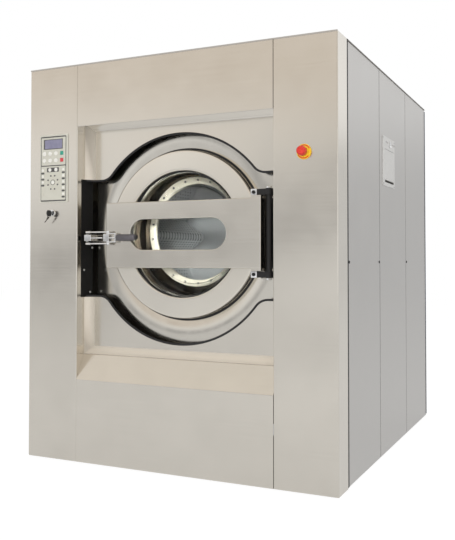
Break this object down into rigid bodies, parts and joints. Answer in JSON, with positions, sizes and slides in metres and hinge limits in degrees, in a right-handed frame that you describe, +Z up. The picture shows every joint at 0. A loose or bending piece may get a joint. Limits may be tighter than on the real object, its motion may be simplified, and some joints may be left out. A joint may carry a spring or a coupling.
{
  "type": "front-loading washer extractor",
  "caption": "Soft-mounted front-loading washer extractor: steel cabinet, sprung tub, belt-driven drum, round glass door under a slotted crossbar with a clamp, keypad and emergency stop.",
  "frame": {"origin": "middle of the bounding box's bottom, on the floor", "axes": "+Z up, the door side faces -Y, +X to the right seen from the front"},
  "size_m": [1.58, 1.968, 1.9],
  "materials": {
    "front_steel": "brushed stainless steel, warm grey",
    "side_steel": "brushed stainless steel, cool grey",
    "polished_steel": "polished stainless steel",
    "tub_steel": "pickled stainless steel",
    "chrome": "chrome plate",
    "dark_steel": "dark enamel on steel",
    "cast_iron": "machined cast iron",
    "motor_paint": "grey machine enamel",
    "rubber": "black rubber",
    "glass": "clear tempered glass",
    "keypad": "matt grey keypad foil",
    "white_key": "white key",
    "green_key": "green key",
    "red_key": "red key",
    "stop_red": "red moulded plastic",
    "stop_yellow": "yellow moulded plastic",
    "black_plastic": "black moulded plastic",
    "brass": "machined brass"
  },
  "bodies": {
    "cabinet": {"base_frame": "dark_steel", "left_column": "front_steel", "right_column": "front_steel", "top_front_panel": "front_steel", "lower_front_panel": "front_steel", "upper_recess_panel": "front_steel", "lower_recess_panel": "front_steel", "upper_edge_trim": "rubber", "lower_edge_trim": "rubber", "left_side_panel": "side_steel", "right_side_panel_front": "side_steel", "right_side_panel_middle": "side_steel", "right_side_panel_rear": "side_steel", "top_cover": "side_steel", "rear_cover": "side_steel", "water_inlets": "brass", "drain_outlet": "black_plastic", "cable_gland": "black_plastic", "control_housing": "keypad", "key_lock_bezel": "chrome", "stop_switch_base": "stop_yellow"},
    "tub": {"tub_shell": "tub_steel", "tub_front": "polished_steel", "door_gasket": "rubber", "bearing_housing": "cast_iron", "motor": "motor_paint", "drive_belt": "rubber", "hinge_bracket": "dark_steel", "hinge_pin": "chrome", "spring_front_left": "motor_paint", "spring_front_right": "motor_paint", "spring_rear_left": "motor_paint", "spring_rear_right": "motor_paint"},
    "drum": {"drum_shell": "polished_steel", "drum_front_ring": "polished_steel", "lifter_1": "polished_steel", "lifter_2": "polished_steel", "lifter_3": "polished_steel", "drum_shaft": "cast_iron", "drum_pulley": "cast_iron"},
    "motor_rotor": {"motor_pulley": "cast_iron"},
    "door": {"door_ring": "front_steel", "door_glass": "glass", "crossbar": "front_steel", "upper_hinge_arm": "dark_steel", "lower_hinge_arm": "dark_steel"},
    "lever": {"clamp_lever": "chrome"},
    "link": {"clamp_link": "chrome"},
    "flap": {"hatch_flap": "side_steel"},
    "knob": {"hatch_knob": "chrome"},
    "key_1": {"program_key_1": "white_key"},
    "key_2": {"program_key_2": "white_key"},
    "key_3": {"program_key_3": "white_key"},
    "key_4": {"program_key_4": "white_key"},
    "key_5": {"program_key_5": "white_key"},
    "key_6": {"program_key_6": "white_key"},
    "key_start": {"start_key": "green_key"},
    "key_stop": {"stop_key": "red_key"},
    "lock_key": {"switch_key": "black_plastic"},
    "stop_head": {"stop_button": "stop_red"}
  },
  "joints": [
    {"name": "tub_bounce", "type": "slide", "parent": "cabinet", "child": "tub", "axis": [0, 0, 1], "range_m": [-0.012, 0.012], "stiffness_N_per_m": 358000, "springref_m": 0.029, "deforming": ["spring_front_left", "spring_front_right", "spring_rear_left", "spring_rear_right"]},
    {"name": "drum_spin", "type": "hinge", "parent": "tub", "child": "drum", "pos_m": [0, 0.5, 1.1], "axis": [0, 1, 0], "continuous": true},
    {"name": "motor_spin", "type": "hinge", "parent": "tub", "child": "motor_rotor", "pos_m": [0.3, 0.686, 0.26], "axis": [0, 1, 0], "continuous": true},
    {"name": "door_swing", "type": "hinge", "parent": "tub", "child": "door", "pos_m": [0.442, -0.824, 1.08], "axis": [0, 0, 1], "range_deg": [0, 95]},
    {"name": "lever_turn", "type": "hinge", "parent": "door", "child": "lever", "pos_m": [-0.3615, -0.887, 1.065], "axis": [0, 0, -1], "range_deg": [0, 120]},
    {"name": "link_turn", "type": "hinge", "parent": "lever", "child": "link", "pos_m": [-0.35514, -0.89336, 1.065], "axis": [0, 0, 1], "range_deg": [0, 120]},
    {"name": "flap_swing", "type": "hinge", "parent": "cabinet", "child": "flap", "pos_m": [0.7835, -0.039, 1.5159], "axis": [0, -1, 0], "range_deg": [0, 75]},
    {"name": "knob_turn", "type": "hinge", "parent": "cabinet", "child": "knob", "pos_m": [0.787, -0.023, 1.551], "axis": [1, 0, 0], "range_deg": [0, 90]},
    {"name": "key_1_press", "type": "slide", "parent": "cabinet", "child": "key_1", "axis": [0, 1, 0], "range_m": [0, 0.001], "stiffness_N_per_m": 600, "springref_m": -0.0005},
    {"name": "key_2_press", "type": "slide", "parent": "cabinet", "child": "key_2", "axis": [0, 1, 0], "range_m": [0, 0.001], "stiffness_N_per_m": 600, "springref_m": -0.0005},
    {"name": "key_3_press", "type": "slide", "parent": "cabinet", "child": "key_3", "axis": [0, 1, 0], "range_m": [0, 0.001], "stiffness_N_per_m": 600, "springref_m": -0.0005},
    {"name": "key_4_press", "type": "slide", "parent": "cabinet", "child": "key_4", "axis": [0, 1, 0], "range_m": [0, 0.001], "stiffness_N_per_m": 600, "springref_m": -0.0005},
    {"name": "key_5_press", "type": "slide", "parent": "cabinet", "child": "key_5", "axis": [0, 1, 0], "range_m": [0, 0.001], "stiffness_N_per_m": 600, "springref_m": -0.0005},
    {"name": "key_6_press", "type": "slide", "parent": "cabinet", "child": "key_6", "axis": [0, 1, 0], "range_m": [0, 0.001], "stiffness_N_per_m": 600, "springref_m": -0.0005},
    {"name": "start_press", "type": "slide", "parent": "cabinet", "child": "key_start", "axis": [0, 1, 0], "range_m": [0, 0.001], "stiffness_N_per_m": 600, "springref_m": -0.0005},
    {"name": "stop_key_press", "type": "slide", "parent": "cabinet", "child": "key_stop", "axis": [0, 1, 0], "range_m": [0, 0.001], "stiffness_N_per_m": 600, "springref_m": -0.0005},
    {"name": "lock_turn", "type": "hinge", "parent": "cabinet", "child": "lock_key", "pos_m": [-0.651, -0.94, 1.189], "axis": [0, 1, 0], "range_deg": [0, 90]},
    {"name": "stop_push", "type": "slide", "parent": "cabinet", "child": "stop_head", "axis": [0, 1, 0], "range_m": [0, 0.008]}
  ],
  "couplings": [
    {"joint": "motor_spin", "follows": "drum_spin", "ratio": 5},
    {"joint": "link_turn", "follows": "lever_turn", "ratio": 1}
  ]
}
